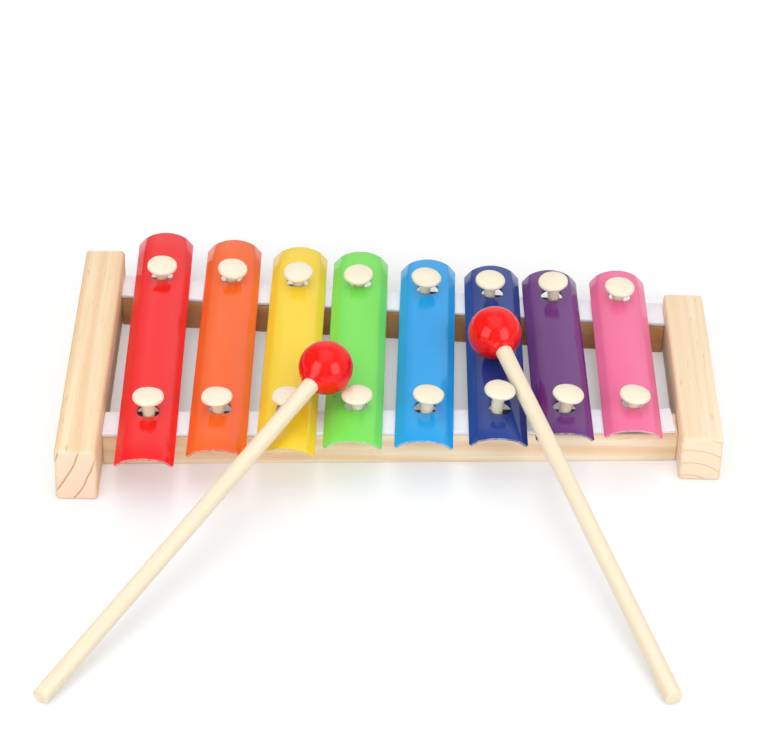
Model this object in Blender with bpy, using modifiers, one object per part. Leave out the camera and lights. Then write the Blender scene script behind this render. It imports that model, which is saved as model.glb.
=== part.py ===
"""A wooden toy xylophone with eight arched metal bars and two mallets.

The two end blocks are joined by two rails that draw together to the right. A foam strip lies on
each rail, the bars lie on the foam, and plastic pegs through the bars' holes are pressed into the
rails. X runs from the long bar to the short one, Y from the player to the back, Z up. The origin
is the middle of the footprint, mallets included, on the surface that the toy stands on.
"""
import math

import bmesh
import bpy
from mathutils import Matrix, Vector

MM = 0.001

# General fits
CLEARANCE = 0.3 * MM
CUT_OVERRUN = 2.0 * MM

# Rails: their spacing is between centre lines, and their middle comes forward to the right
RAIL_WIDTH = 13.7 * MM
RAIL_HEIGHT = 12.9 * MM
RAIL_ROUNDING = 0.7 * MM
RAIL_SPACING_LEFT = 93.6 * MM
RAIL_SPACING_RIGHT = 71.8 * MM
RAIL_SKEW = 1.3 * MM

# End blocks: each stands out beyond the rails' outer faces at its front and back
BLOCK_WIDTH = 15.7 * MM
BLOCK_ROUNDING = 1.1 * MM
LEFT_BLOCK_HEIGHT = 22.4 * MM
LEFT_BLOCK_FRONT_REACH = 22.0 * MM
LEFT_BLOCK_BACK_REACH = 7.7 * MM
RIGHT_BLOCK_HEIGHT = 19.6 * MM
RIGHT_BLOCK_FRONT_REACH = 12.0 * MM
RIGHT_BLOCK_BACK_REACH = 0.4 * MM

# Dowels that hold the rails in the blocks
DOWEL_RADIUS = 2.5 * MM
DOWEL_IN_BLOCK = 9.0 * MM
DOWEL_IN_RAIL = 11.0 * MM
DOWEL_CHAMFER = 0.5 * MM

# Foam strips on the rails
FOAM_THICKNESS = 1.7 * MM
FOAM_OVERHANG = 0.25 * MM
# The front strip's right end is cut at an angle: how far its back corner stops short of the
# block, and how much further its front corner reaches
FRONT_FOAM_SHORT = 1.9 * MM
FRONT_FOAM_SLANT = 1.1 * MM

# Bars: arched sheet, the rise is that of the outer surface over its own long edges
BAR_WIDTH = 22.2 * MM
BAR_RISE = 5.0 * MM
BAR_THICKNESS = 0.8 * MM
BAR_END_BULGE = 1.8 * MM
BAR_CORNER = 0.6 * MM
BAR_HOLE_RADIUS = 4.3 * MM
BAR_LIFT = 2.2 * MM

# Pegs
PEG_SHANK_RADIUS = 2.35 * MM
PEG_SHANK_LENGTH = 20.0 * MM
PEG_TIP_CHAMFER = 0.6 * MM
PEG_HEAD_RADIUS = 5.95 * MM
PEG_HEAD_EDGE = 1.05 * MM
PEG_HEAD_DOME = 0.7 * MM
PEG_HOLE_DEPTH = 10.2 * MM
PEG_PLAY = 1.0 * MM
BACK_PEG_NOD = math.radians(6.0)

# Mallets
BALL_RADIUS = 10.4 * MM
STICK_RADIUS = 3.25 * MM
STICK_ROUNDING = 0.5 * MM
STICK_IN_BALL = 9.0 * MM
LEFT_MALLET_REACH = 183.6 * MM
RIGHT_MALLET_REACH = 188.8 * MM

# Smoothness
BAR_STEPS = 16
ROUND_STEPS = 16
BALL_STEPS = 24
BALL_RINGS = 16
BEVEL_STEPS = 3
TILT_ROUNDS = 8
SMOOTH_ANGLE = math.radians(35)

# Each bar: name, gap to what is on its left, turn in degrees, length, shift towards the back
BARS = (
    ("red", 5.5 * MM, -0.6, 154.0 * MM, 0.6 * MM),
    ("orange", 5.2 * MM, 0.25, 143.3 * MM, 1.8 * MM),
    ("yellow", 4.3 * MM, 0.9, 137.4 * MM, 0.5 * MM),
    ("green", 2.8 * MM, 0.85, 129.2 * MM, 2.2 * MM),
    ("blue", 4.95 * MM, 1.2, 123.4 * MM, 0.5 * MM),
    ("indigo", 4.75 * MM, 0.0, 117.4 * MM, 0.1 * MM),
    ("purple", 2.1 * MM, -1.0, 110.8 * MM, 1.1 * MM),
    ("pink", 4.6 * MM, -0.2, 108.8 * MM, 2.9 * MM),
)
LAST_GAP = 6.8 * MM

# Each bar's hole over a rail: how far to the right and back of where their middle lines cross
FRONT_HOLES = (
    (0.1 * MM, -0.4 * MM),
    (0.5 * MM, 1.4 * MM),
    (0.0 * MM, 0.3 * MM),
    (0.7 * MM, 3.0 * MM),
    (0.1 * MM, 0.8 * MM),
    (0.8 * MM, 0.1 * MM),
    (0.4 * MM, 0.9 * MM),
    (0.5 * MM, 3.3 * MM),
)
BACK_HOLES = (
    (0.0 * MM, 0.8 * MM),
    (0.0 * MM, 1.7 * MM),
    (-0.3 * MM, 0.8 * MM),
    (0.4 * MM, 2.8 * MM),
    (0.0 * MM, 0.3 * MM),
    (-0.1 * MM, 0.2 * MM),
    (0.0 * MM, 0.2 * MM),
    (0.1 * MM, 2.5 * MM),
)

# Each peg: height over the lowest one, lean to the right in degrees, and how far its foot stands
# to the right and back of where the middle lines cross
FRONT_PEGS = (
    (1.9 * MM, -0.6, 0.4 * MM, -0.2 * MM),
    (1.15 * MM, -3.1, 0.0 * MM, 0.7 * MM),
    (1.55 * MM, -1.4, 0.2 * MM, 0.1 * MM),
    (0.8 * MM, -1.2, 1.4 * MM, 1.8 * MM),
    (1.9 * MM, 4.0, 0.3 * MM, 0.4 * MM),
    (3.9 * MM, 5.3, -1.1 * MM, 0.0 * MM),
    (1.75 * MM, 6.8, -0.1 * MM, 0.4 * MM),
    (0.1 * MM, 3.8, 0.1 * MM, 2.0 * MM),
)
BACK_PEGS = (
    (0.6 * MM, 2.8, -0.4 * MM, 0.8 * MM),
    (0.2 * MM, 4.5, -0.4 * MM, 1.6 * MM),
    (0.85 * MM, -1.8, 0.4 * MM, 0.8 * MM),
    (0.0 * MM, -2.0, -0.2 * MM, 2.5 * MM),
    (1.65 * MM, 4.7, -1.9 * MM, 0.6 * MM),
    (2.1 * MM, 0.7, -1.4 * MM, 0.5 * MM),
    (3.0 * MM, -4.7, 1.3 * MM, 0.5 * MM),
    (0.75 * MM, 3.4, -1.1 * MM, 2.1 * MM),
)

# The left mallet's stick lies on one front peg's head, its ball close behind the next one's
LEFT_STICK_PEG = 2
LEFT_BALL_PEG = 3
LEFT_BALL_SIDE = math.radians(149.4)
LEFT_STICK_ASIDE = 7.1 * MM

# The right mallet's ball lies on one bar, its stick beside the head of that bar's front peg
RIGHT_BALL_BAR = 5
RIGHT_BALL_FROM_MIDDLE = (-0.8 * MM, -5.0 * MM)
RIGHT_STICK_GAP = 0.45 * MM

# Heights and places that follow
INNER_LENGTH = sum(bar[1] for bar in BARS) + len(BARS) * BAR_WIDTH + LAST_GAP
INNER_FACE = INNER_LENGTH / 2
RAIL_END = INNER_FACE - CLEARANCE
FOAM_BOTTOM = RAIL_HEIGHT + CLEARANCE
FOAM_TOP = FOAM_BOTTOM + FOAM_THICKNESS
BAR_BOTTOM = FOAM_TOP + CLEARANCE
ARCH_RADIUS = ((BAR_WIDTH / 2) ** 2 + BAR_RISE ** 2) / (2 * BAR_RISE)
ARCH_HALF_ANGLE = math.asin(BAR_WIDTH / 2 / ARCH_RADIUS)
BAR_CROWN = BAR_BOTTOM + BAR_THICKNESS * math.cos(ARCH_HALF_ANGLE) + BAR_RISE
ARCH_CENTRE_Z = BAR_CROWN - ARCH_RADIUS
PEG_LOWEST = BAR_CROWN + BAR_LIFT + PEG_PLAY

PINE = (0.91, 0.69, 0.47, 1.0)
DOWEL_PINE = (0.80, 0.62, 0.40, 1.0)
FOAM_WHITE = (0.88, 0.88, 0.92, 1.0)
PEG_CREAM = (0.88, 0.78, 0.60, 1.0)
STICK_WOOD = (0.88, 0.77, 0.56, 1.0)
BALL_RED = (0.90, 0.012, 0.008, 1.0)
BAR_COLOURS = {
    "red": (0.90, 0.010, 0.012, 1.0),
    "orange": (0.92, 0.135, 0.016, 1.0),
    "yellow": (0.93, 0.66, 0.035, 1.0),
    "green": (0.20, 0.76, 0.10, 1.0),
    "blue": (0.010, 0.36, 0.80, 1.0),
    "indigo": (0.018, 0.055, 0.28, 1.0),
    "purple": (0.150, 0.034, 0.208, 1.0),
    "pink": (0.89, 0.165, 0.34, 1.0),
}


def clear_scene():
    for obj in list(bpy.data.objects):
        bpy.data.objects.remove(obj, do_unlink=True)


def make_collection(name):
    collection = bpy.data.collections.new(name)
    bpy.context.scene.collection.children.link(collection)
    return collection


def make_material(name, colour, roughness, metallic=0.0):
    material = bpy.data.materials.new(name)
    material.use_nodes = True
    shader = material.node_tree.nodes["Principled BSDF"]
    shader.inputs["Base Color"].default_value = colour
    shader.inputs["Roughness"].default_value = roughness
    shader.inputs["Metallic"].default_value = metallic
    return material


def object_from_bmesh(name, mesh_tool, collection, parent):
    mesh = bpy.data.meshes.new(name)
    mesh_tool.to_mesh(mesh)
    mesh_tool.free()
    obj = bpy.data.objects.new(name, mesh)
    obj.parent = parent
    collection.objects.link(obj)
    return obj


def box_object(name, low, high, collection, parent):
    """A box between two corners, its mesh around the box's middle."""
    low = Vector(low)
    high = Vector(high)
    size = high - low
    tool = bmesh.new()
    bmesh.ops.create_cube(tool, size=1.0, matrix=Matrix.Diagonal((*size, 1.0)))
    obj = object_from_bmesh(name, tool, collection, parent)
    obj.location = (low + high) / 2
    return obj


def cylinder_object(name, radius, length, steps, collection, parent):
    """A cylinder along Z, its mesh around the middle."""
    tool = bmesh.new()
    bmesh.ops.create_cone(
        tool,
        cap_ends=True,
        segments=steps,
        radius1=radius,
        radius2=radius,
        depth=length,
    )
    return object_from_bmesh(name, tool, collection, parent)


def shade_round(obj):
    obj.data.shade_smooth()
    obj.data.set_sharp_from_angle(angle=SMOOTH_ANGLE)


def add_bevel(obj, width, steps):
    bevel = obj.modifiers.new("rounding", "BEVEL")
    bevel.width = width
    bevel.segments = steps
    bevel.limit_method = "ANGLE"
    bevel.angle_limit = SMOOTH_ANGLE


def cut(obj, cutter):
    boolean = obj.modifiers.new("cut_" + cutter.name, "BOOLEAN")
    boolean.operation = "DIFFERENCE"
    boolean.object = cutter


def as_cutter(obj):
    obj.hide_render = True
    obj.display_type = "WIRE"
    return obj


def rail_line(side, x):
    """Y of a rail's centre line: side is -1 for the front rail and 1 for the back one."""
    share = (x + INNER_FACE) / INNER_LENGTH
    spacing = RAIL_SPACING_LEFT + share * (RAIL_SPACING_RIGHT - RAIL_SPACING_LEFT)
    return side * spacing / 2 - share * RAIL_SKEW


def bar_x(index):
    """X of a bar's middle, counted from the left block's inner face."""
    gaps = sum(bar[1] for bar in BARS[:index + 1])
    return -INNER_FACE + gaps + (index + 1 / 2) * BAR_WIDTH


def bar_middle(index):
    x = bar_x(index)
    return Vector((x, rail_line(0, x) + BARS[index][4], ARCH_CENTRE_Z))


def slanted_box(name, side, x_range, half_width, z_range, collection, parent):
    """A box that follows a rail's centre line, its ends cut square to X."""
    obj = box_object(
        name,
        (x_range[0], -half_width, z_range[0]),
        (x_range[1], half_width, z_range[1]),
        collection,
        parent,
    )
    y_low = rail_line(side, x_range[0])
    y_high = rail_line(side, x_range[1])
    slope = (y_high - y_low) / (x_range[1] - x_range[0])
    shear = Matrix.Identity(4)
    shear[1][0] = slope
    obj.data.transform(shear)
    obj.location.y = (y_low + y_high) / 2
    return obj


def make_blocks(model, parent, pine):
    blocks = {}
    left_reach = (LEFT_BLOCK_FRONT_REACH, LEFT_BLOCK_BACK_REACH)
    right_reach = (RIGHT_BLOCK_FRONT_REACH, RIGHT_BLOCK_BACK_REACH)
    sizes = (
        ("left_end_block", -1, left_reach, LEFT_BLOCK_HEIGHT),
        ("right_end_block", 1, right_reach, RIGHT_BLOCK_HEIGHT),
    )
    for name, end, reach, height in sizes:
        inner = end * INNER_FACE
        faces = sorted((inner, inner + end * BLOCK_WIDTH))
        front = rail_line(-1, inner) - RAIL_WIDTH / 2 - reach[0]
        back = rail_line(1, inner) + RAIL_WIDTH / 2 + reach[1]
        block = box_object(
            name,
            (faces[0], front, 0),
            (faces[1], back, height),
            model,
            parent,
        )
        add_bevel(block, BLOCK_ROUNDING, BEVEL_STEPS)
        block.data.materials.append(pine)
        blocks[end] = block
    return blocks


def make_rails(model, parent, pine, foam_material):
    rails = {}
    foams = {}
    for side, word, short in ((-1, "front", FRONT_FOAM_SHORT), (1, "back", 0.0)):
        rail = slanted_box(
            word + "_rail",
            side,
            (-RAIL_END, RAIL_END),
            RAIL_WIDTH / 2,
            (0, RAIL_HEIGHT),
            model,
            parent,
        )
        add_bevel(rail, RAIL_ROUNDING, 2)
        rail.data.materials.append(pine)
        foam = slanted_box(
            word + "_foam_strip",
            side,
            (-RAIL_END, RAIL_END - short),
            RAIL_WIDTH / 2 + FOAM_OVERHANG,
            (FOAM_BOTTOM, FOAM_TOP),
            model,
            parent,
        )
        if side < 0:
            for vertex in foam.data.vertices:
                if vertex.co.x > 0 and foam.location.y + vertex.co.y < rail_line(side, RAIL_END):
                    vertex.co.x += FRONT_FOAM_SLANT
        foam.data.materials.append(foam_material)
        rails[side] = rail
        foams[side] = foam
    return rails, foams


def join_with_dowels(blocks, rails, model, cutters, parent, wood):
    """A blind dowel hole in each block and rail end, and the dowel across the joint."""
    for side, word in ((-1, "front"), (1, "back")):
        for end, end_word in ((-1, "left"), (1, "right")):
            name = "dowel_" + word + "_" + end_word
            length = DOWEL_IN_BLOCK + DOWEL_IN_RAIL
            middle_x = end * (INNER_FACE + (DOWEL_IN_BLOCK - DOWEL_IN_RAIL) / 2)
            place = Vector((middle_x, rail_line(side, end * INNER_FACE), RAIL_HEIGHT / 2))
            lie_along_x = (0, math.pi / 2, 0)

            dowel = cylinder_object(name, DOWEL_RADIUS, length, ROUND_STEPS, model, parent)
            dowel.location = place
            dowel.rotation_euler = lie_along_x
            add_bevel(dowel, DOWEL_CHAMFER, 1)
            dowel.data.materials.append(wood)
            shade_round(dowel)

            hole = cylinder_object(
                "hole_for_" + name,
                DOWEL_RADIUS + CLEARANCE,
                length + 2 * CLEARANCE,
                ROUND_STEPS,
                cutters,
                parent,
            )
            hole.location = place
            hole.rotation_euler = lie_along_x
            as_cutter(hole)
            cut(blocks[end], hole)
            cut(rails[side], hole)


def bar_end(across_share, length):
    """Half length of a bar at a share of its half width: bulged, with rounded corners."""
    distance = abs(across_share) * ARCH_RADIUS * ARCH_HALF_ANGLE
    corner_start = ARCH_RADIUS * ARCH_HALF_ANGLE - BAR_CORNER
    reach = length / 2 - BAR_END_BULGE * across_share ** 2
    if distance > corner_start:
        into_corner = min(distance - corner_start, BAR_CORNER)
        reach -= BAR_CORNER - math.sqrt(BAR_CORNER ** 2 - into_corner ** 2)
    return reach


def make_bar(index, model, cutters, parent, paint):
    """An arched sheet around its own middle, with a hole over each rail."""
    number = index + 1
    colour_name, _, turn, length, _ = BARS[index]
    tool = bmesh.new()
    bmesh.ops.create_grid(tool, x_segments=BAR_STEPS, y_segments=1, size=1.0)
    for vertex in tool.verts:
        across_share = math.sin(vertex.co.x * math.pi / 2)
        end = 1 if vertex.co.y > 0 else -1
        angle = across_share * ARCH_HALF_ANGLE
        vertex.co = (
            ARCH_RADIUS * math.sin(angle),
            end * bar_end(across_share, length),
            ARCH_RADIUS * math.cos(angle),
        )
    bar = object_from_bmesh("bar_%d_%s" % (number, colour_name), tool, model, parent)
    bar.location = bar_middle(index)
    bar.rotation_euler = (0, 0, math.radians(-turn))
    sheet = bar.modifiers.new("sheet", "SOLIDIFY")
    sheet.thickness = BAR_THICKNESS
    sheet.offset = -1
    bar.data.materials.append(paint)

    rows = ((-1, "front", FRONT_HOLES), (1, "back", BACK_HOLES))
    for side, word, places in rows:
        hole = cylinder_object(
            "hole_%s_in_bar_%d" % (word, number),
            BAR_HOLE_RADIUS,
            BAR_RISE + 2 * CUT_OVERRUN,
            ROUND_STEPS,
            cutters,
            parent,
        )
        hole.location = crossing(side, index) + Vector((*places[index], BAR_RISE))
        as_cutter(hole)
        cut(bar, hole)
    shade_round(bar)
    return bar


def crossing(side, index):
    """Where a bar's middle line crosses a rail's centre line, at the height of the rail's top."""
    middle = bar_middle(index)
    y = rail_line(side, middle.x)
    aside = (y - middle.y) * math.tan(math.radians(BARS[index][2]))
    return Vector((middle.x + aside, y, RAIL_HEIGHT))


def peg_place(side, index):
    """A peg's frame: its zero on the rail's top, its Z along the leaning peg."""
    settings = FRONT_PEGS if side < 0 else BACK_PEGS
    nod = 0.0 if side < 0 else BACK_PEG_NOD
    _, lean, aside, back = settings[index]
    foot = crossing(side, index) + Vector((aside, back, 0))
    turn = Matrix.Rotation(math.radians(lean), 4, "Y") @ Matrix.Rotation(nod, 4, "X")
    return Matrix.Translation(foot) @ turn


def peg_head(side, index):
    """How far along the peg its head's underside is from the rail's top."""
    settings = FRONT_PEGS if side < 0 else BACK_PEGS
    rise = peg_place(side, index).col[2].z
    return (PEG_LOWEST + settings[index][0] - RAIL_HEIGHT) / rise


def peg_profile():
    """Half outline of a peg from the head's top to the tip, its zero under the head."""
    rim_radius = PEG_HEAD_RADIUS - PEG_HEAD_EDGE
    points = [(0, 2 * PEG_HEAD_EDGE + PEG_HEAD_DOME)]
    for share in (0.4, 0.75):
        height = 2 * PEG_HEAD_EDGE + PEG_HEAD_DOME * (1 - share ** 2)
        points.append((rim_radius * share, height))
    for step in range(4):
        angle = math.pi / 2 - step * math.pi / 3
        radius = rim_radius + PEG_HEAD_EDGE * math.cos(angle)
        points.append((radius, PEG_HEAD_EDGE * (1 + math.sin(angle))))
    points.append((PEG_SHANK_RADIUS, 0))
    points.append((PEG_SHANK_RADIUS, -PEG_SHANK_LENGTH + PEG_TIP_CHAMFER))
    points.append((PEG_SHANK_RADIUS - PEG_TIP_CHAMFER, -PEG_SHANK_LENGTH))
    points.append((0, -PEG_SHANK_LENGTH))
    return points


def profile_mesh(name, points):
    tool = bmesh.new()
    previous = None
    for radius, height in points:
        vertex = tool.verts.new((radius, 0, height))
        if previous is not None:
            tool.edges.new((previous, vertex))
        previous = vertex
    mesh = bpy.data.meshes.new(name)
    tool.to_mesh(mesh)
    tool.free()
    return mesh


def make_pegs(rails, foams, model, cutters, parent, plastic):
    """Sixteen pegs, each with its blind hole in the rail and its hole in the foam."""
    mesh = profile_mesh("peg", peg_profile())
    mesh.materials.append(plastic)
    for side, word in ((-1, "front"), (1, "back")):
        for index in range(len(BARS)):
            place = peg_place(side, index)
            name = "peg_%s_%d" % (word, index + 1)

            peg = bpy.data.objects.new(name, mesh)
            model.objects.link(peg)
            peg.parent = parent
            peg.matrix_local = place @ Matrix.Translation((0, 0, peg_head(side, index)))
            turned = peg.modifiers.new("turned", "SCREW")
            turned.steps = ROUND_STEPS
            turned.render_steps = ROUND_STEPS
            turned.use_merge_vertices = True
            turned.merge_threshold = CLEARANCE / 100
            turned.use_smooth_shade = True

            depth = PEG_HOLE_DEPTH + FOAM_TOP - RAIL_HEIGHT + CUT_OVERRUN
            hole = cylinder_object(
                "hole_for_" + name,
                PEG_SHANK_RADIUS + CLEARANCE,
                depth,
                ROUND_STEPS,
                cutters,
                parent,
            )
            middle = Matrix.Translation((0, 0, depth / 2 - PEG_HOLE_DEPTH))
            hole.matrix_local = place @ middle
            as_cutter(hole)
            cut(rails[side], hole)
            cut(foams[side], hole)


def front_head(index):
    """Middle of a front peg's head in plan, and the height of its rim's middle."""
    place = peg_place(-1, index)
    middle = place @ Vector((0, 0, peg_head(-1, index) + PEG_HEAD_EDGE))
    return middle.xy, middle.z


def stick_tilt(height, reach):
    """Tilt that brings a stick's end to the floor, from a height and a distance along it."""
    tilt = 0.0
    for _ in range(TILT_ROUNDS):
        tilt = math.asin((height - STICK_RADIUS * math.cos(tilt)) / reach)
    return tilt


def left_mallet_pose():
    """Ball centre, tilt, heading and reach of the left mallet."""
    stick_head, stick_rim = front_head(LEFT_STICK_PEG)
    ball_head, ball_rim = front_head(LEFT_BALL_PEG)
    lean = math.radians(FRONT_PEGS[LEFT_BALL_PEG][1])
    ball_rim -= PEG_HEAD_RADIUS * math.sin(lean) * math.cos(LEFT_BALL_SIDE)
    outward = Vector((math.cos(LEFT_BALL_SIDE), math.sin(LEFT_BALL_SIDE)))
    rim_radius = PEG_HEAD_RADIUS - PEG_HEAD_EDGE

    over = STICK_RADIUS + PEG_HEAD_EDGE + CLEARANCE
    stick_height = stick_rim + math.sqrt(over ** 2 - (LEFT_STICK_ASIDE - rim_radius) ** 2)
    beside = BALL_RADIUS + PEG_HEAD_EDGE + CLEARANCE
    height = stick_height
    for _ in range(TILT_ROUNDS):
        gap = rim_radius + math.sqrt(beside ** 2 - (height - ball_rim) ** 2)
        centre = ball_head + gap * outward
        away = stick_head - centre
        run = math.sqrt(away.length ** 2 - LEFT_STICK_ASIDE ** 2)
        tilt = stick_tilt(stick_height, LEFT_MALLET_REACH - run)
        height = STICK_RADIUS * math.cos(tilt) + LEFT_MALLET_REACH * math.sin(tilt)
    heading = math.atan2(away.y, away.x) + math.asin(LEFT_STICK_ASIDE / away.length)
    return Vector((*centre, height)), tilt, heading, LEFT_MALLET_REACH


def right_mallet_pose():
    """Ball centre, tilt, heading and reach of the right mallet."""
    reach = ARCH_RADIUS + BALL_RADIUS + CLEARANCE
    rise = math.sqrt(reach ** 2 - RIGHT_BALL_FROM_MIDDLE[0] ** 2)
    centre = bar_middle(RIGHT_BALL_BAR) + Vector((*RIGHT_BALL_FROM_MIDDLE, rise))
    tilt = stick_tilt(centre.z, RIGHT_MALLET_REACH)

    head, _ = front_head(RIGHT_BALL_BAR)
    away = head - centre.xy
    beside = PEG_HEAD_RADIUS + STICK_RADIUS + RIGHT_STICK_GAP
    heading = math.atan2(away.y, away.x) + math.asin(beside / away.length)
    return centre, tilt, heading, RIGHT_MALLET_REACH


def front_reach(centre, tilt, heading, reach):
    """The lowest Y of a mallet's stick end, whose edge is rounded."""
    run = math.cos(tilt) * math.sin(heading)
    end = centre.y + (reach - STICK_ROUNDING) * run
    return end - STICK_ROUNDING - (STICK_RADIUS - STICK_ROUNDING) * math.sqrt(1 - run ** 2)


def back_reach():
    """The highest Y of the longest bar."""
    _, _, turn, length, _ = BARS[0]
    return bar_middle(0).y + length / 2 * math.cos(math.radians(turn))


def make_mallet(word, pose, model, cutters, parent, stick_wood, lacquer):
    """A drilled ball around the mallet's own zero, and a stick from it along the mallet's -Z."""
    centre, tilt, heading, reach = pose
    carrier = bpy.data.objects.new("mallet_" + word, None)
    model.objects.link(carrier)
    carrier.parent = parent
    turn = Matrix.Rotation(heading, 4, "Z") @ Matrix.Rotation(tilt - math.pi / 2, 4, "Y")
    carrier.matrix_local = Matrix.Translation(centre) @ turn

    length = reach + STICK_IN_BALL - BALL_RADIUS
    start = BALL_RADIUS - STICK_IN_BALL
    stick = cylinder_object(
        "mallet_%s_stick" % word,
        STICK_RADIUS,
        length,
        ROUND_STEPS,
        model,
        carrier,
    )
    stick.location = (0, 0, -start - length / 2)
    add_bevel(stick, STICK_ROUNDING, 2)
    stick.data.materials.append(stick_wood)
    shade_round(stick)

    tool = bmesh.new()
    bmesh.ops.create_uvsphere(
        tool,
        u_segments=BALL_STEPS,
        v_segments=BALL_RINGS,
        radius=BALL_RADIUS,
    )
    ball = object_from_bmesh("mallet_%s_ball" % word, tool, model, carrier)
    ball.data.materials.append(lacquer)
    drill_length = STICK_IN_BALL + CLEARANCE + CUT_OVERRUN
    drill = cylinder_object(
        "hole_in_ball_" + word,
        STICK_RADIUS + CLEARANCE,
        drill_length,
        ROUND_STEPS,
        cutters,
        carrier,
    )
    drill.location = (0, 0, -start + CLEARANCE - drill_length / 2)
    as_cutter(drill)
    cut(ball, drill)
    shade_round(ball)


def main():
    clear_scene()
    model = make_collection("toy_xylophone")
    cutters = make_collection("cutters")

    left_pose = left_mallet_pose()
    right_pose = right_mallet_pose()
    front = min(front_reach(*left_pose), front_reach(*right_pose))
    back = back_reach()
    parent = bpy.data.objects.new("frame_middle", None)
    parent.location = (0, -(front + back) / 2, 0)
    model.objects.link(parent)

    pine = make_material("pine", PINE, 0.6)
    dowel_wood = make_material("dowel_wood", DOWEL_PINE, 0.65)
    foam_material = make_material("foam", FOAM_WHITE, 0.85)
    plastic = make_material("peg_plastic", PEG_CREAM, 0.35)
    stick_wood = make_material("stick_wood", STICK_WOOD, 0.6)
    lacquer = make_material("red_lacquer", BALL_RED, 0.15)

    blocks = make_blocks(model, parent, pine)
    rails, foams = make_rails(model, parent, pine, foam_material)
    join_with_dowels(blocks, rails, model, cutters, parent, dowel_wood)
    for index, bar in enumerate(BARS):
        paint = make_material("paint_" + bar[0], BAR_COLOURS[bar[0]], 0.2, 0.1)
        make_bar(index, model, cutters, parent, paint)
    make_pegs(rails, foams, model, cutters, parent, plastic)
    make_mallet("left", left_pose, model, cutters, parent, stick_wood, lacquer)
    make_mallet("right", right_pose, model, cutters, parent, stick_wood, lacquer)


main()
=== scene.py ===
"""The toy xylophone, dressed: smooth painted sheet, turned beads, moulded pegs, pine and foam."""

import math

import bmesh
import bpy
from mathutils import Matrix, Vector, noise


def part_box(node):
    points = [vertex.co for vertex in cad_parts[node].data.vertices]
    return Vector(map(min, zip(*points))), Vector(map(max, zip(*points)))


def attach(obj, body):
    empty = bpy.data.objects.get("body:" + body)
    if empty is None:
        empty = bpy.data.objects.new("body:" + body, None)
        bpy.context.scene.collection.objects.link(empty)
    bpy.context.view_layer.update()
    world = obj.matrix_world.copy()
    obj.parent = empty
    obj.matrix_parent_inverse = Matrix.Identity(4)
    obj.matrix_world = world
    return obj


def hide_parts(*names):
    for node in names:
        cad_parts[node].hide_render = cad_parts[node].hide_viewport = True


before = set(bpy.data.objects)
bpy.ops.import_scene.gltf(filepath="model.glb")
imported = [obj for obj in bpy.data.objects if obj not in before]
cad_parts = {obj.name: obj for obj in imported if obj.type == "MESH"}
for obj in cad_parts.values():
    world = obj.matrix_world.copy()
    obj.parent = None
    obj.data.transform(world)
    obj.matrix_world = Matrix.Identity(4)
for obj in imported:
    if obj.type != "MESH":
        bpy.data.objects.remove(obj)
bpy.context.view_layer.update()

MM = 0.001

# The same sizes as in the part's source
CLEARANCE = 0.3 * MM
RAIL_WIDTH = 13.7 * MM
RAIL_HEIGHT = 12.9 * MM
RAIL_SPACING_LEFT = 93.6 * MM
RAIL_SPACING_RIGHT = 71.8 * MM
RAIL_SKEW = 1.3 * MM
BLOCK_FRONT_REACH = 22.0 * MM
FOAM_THICKNESS = 1.7 * MM
FRONT_FOAM_SLANT = 1.1 * MM
DOWEL_RADIUS = 2.5 * MM
DOWEL_IN_BLOCK = 9.0 * MM
DOWEL_IN_RAIL = 11.0 * MM
BAR_WIDTH = 22.2 * MM
BAR_RISE = 5.0 * MM
BAR_THICKNESS = 0.8 * MM
BAR_END_BULGE = 1.8 * MM
BAR_CORNER = 0.6 * MM
BAR_HOLE_RADIUS = 4.3 * MM
BAR_LIFT = 2.2 * MM
PEG_SHANK_RADIUS = 2.35 * MM
PEG_SHANK_LENGTH = 20.0 * MM
PEG_HEAD_RADIUS = 5.95 * MM
PEG_HEAD_EDGE = 1.05 * MM
PEG_HEAD_DOME = 0.7 * MM
PEG_HOLE_DEPTH = 10.2 * MM
PEG_PLAY = 1.0 * MM
BACK_PEG_NOD = math.radians(6.0)
BALL_RADIUS = 10.4 * MM
STICK_RADIUS = 3.25 * MM
STICK_IN_BALL = 9.0 * MM
MALLET_REACH = {"left": 183.6 * MM, "right": 188.8 * MM}
LAST_GAP = 6.8 * MM

# Name, gap on the left, turn in degrees, length, shift towards the back
BARS = (
    ("red", 5.5 * MM, -0.6, 154.0 * MM, 0.6 * MM),
    ("orange", 5.2 * MM, 0.25, 143.3 * MM, 1.8 * MM),
    ("yellow", 4.3 * MM, 0.9, 137.4 * MM, 0.5 * MM),
    ("green", 2.8 * MM, 0.85, 129.2 * MM, 2.2 * MM),
    ("blue", 4.95 * MM, 1.2, 123.4 * MM, 0.5 * MM),
    ("indigo", 4.75 * MM, 0.0, 117.4 * MM, 0.1 * MM),
    ("purple", 2.1 * MM, -1.0, 110.8 * MM, 1.1 * MM),
    ("pink", 4.6 * MM, -0.2, 108.8 * MM, 2.9 * MM),
)

# How far each hole is to the right and back of where the bar and the rail cross
HOLES = {
    "front": (
        (0.1 * MM, -0.4 * MM),
        (0.5 * MM, 1.4 * MM),
        (0.0 * MM, 0.3 * MM),
        (0.7 * MM, 3.0 * MM),
        (0.1 * MM, 0.8 * MM),
        (0.8 * MM, 0.1 * MM),
        (0.4 * MM, 0.9 * MM),
        (0.5 * MM, 3.3 * MM),
    ),
    "back": (
        (0.0 * MM, 0.8 * MM),
        (0.0 * MM, 1.7 * MM),
        (-0.3 * MM, 0.8 * MM),
        (0.4 * MM, 2.8 * MM),
        (0.0 * MM, 0.3 * MM),
        (-0.1 * MM, 0.2 * MM),
        (0.0 * MM, 0.2 * MM),
        (0.1 * MM, 2.5 * MM),
    ),
}

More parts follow.
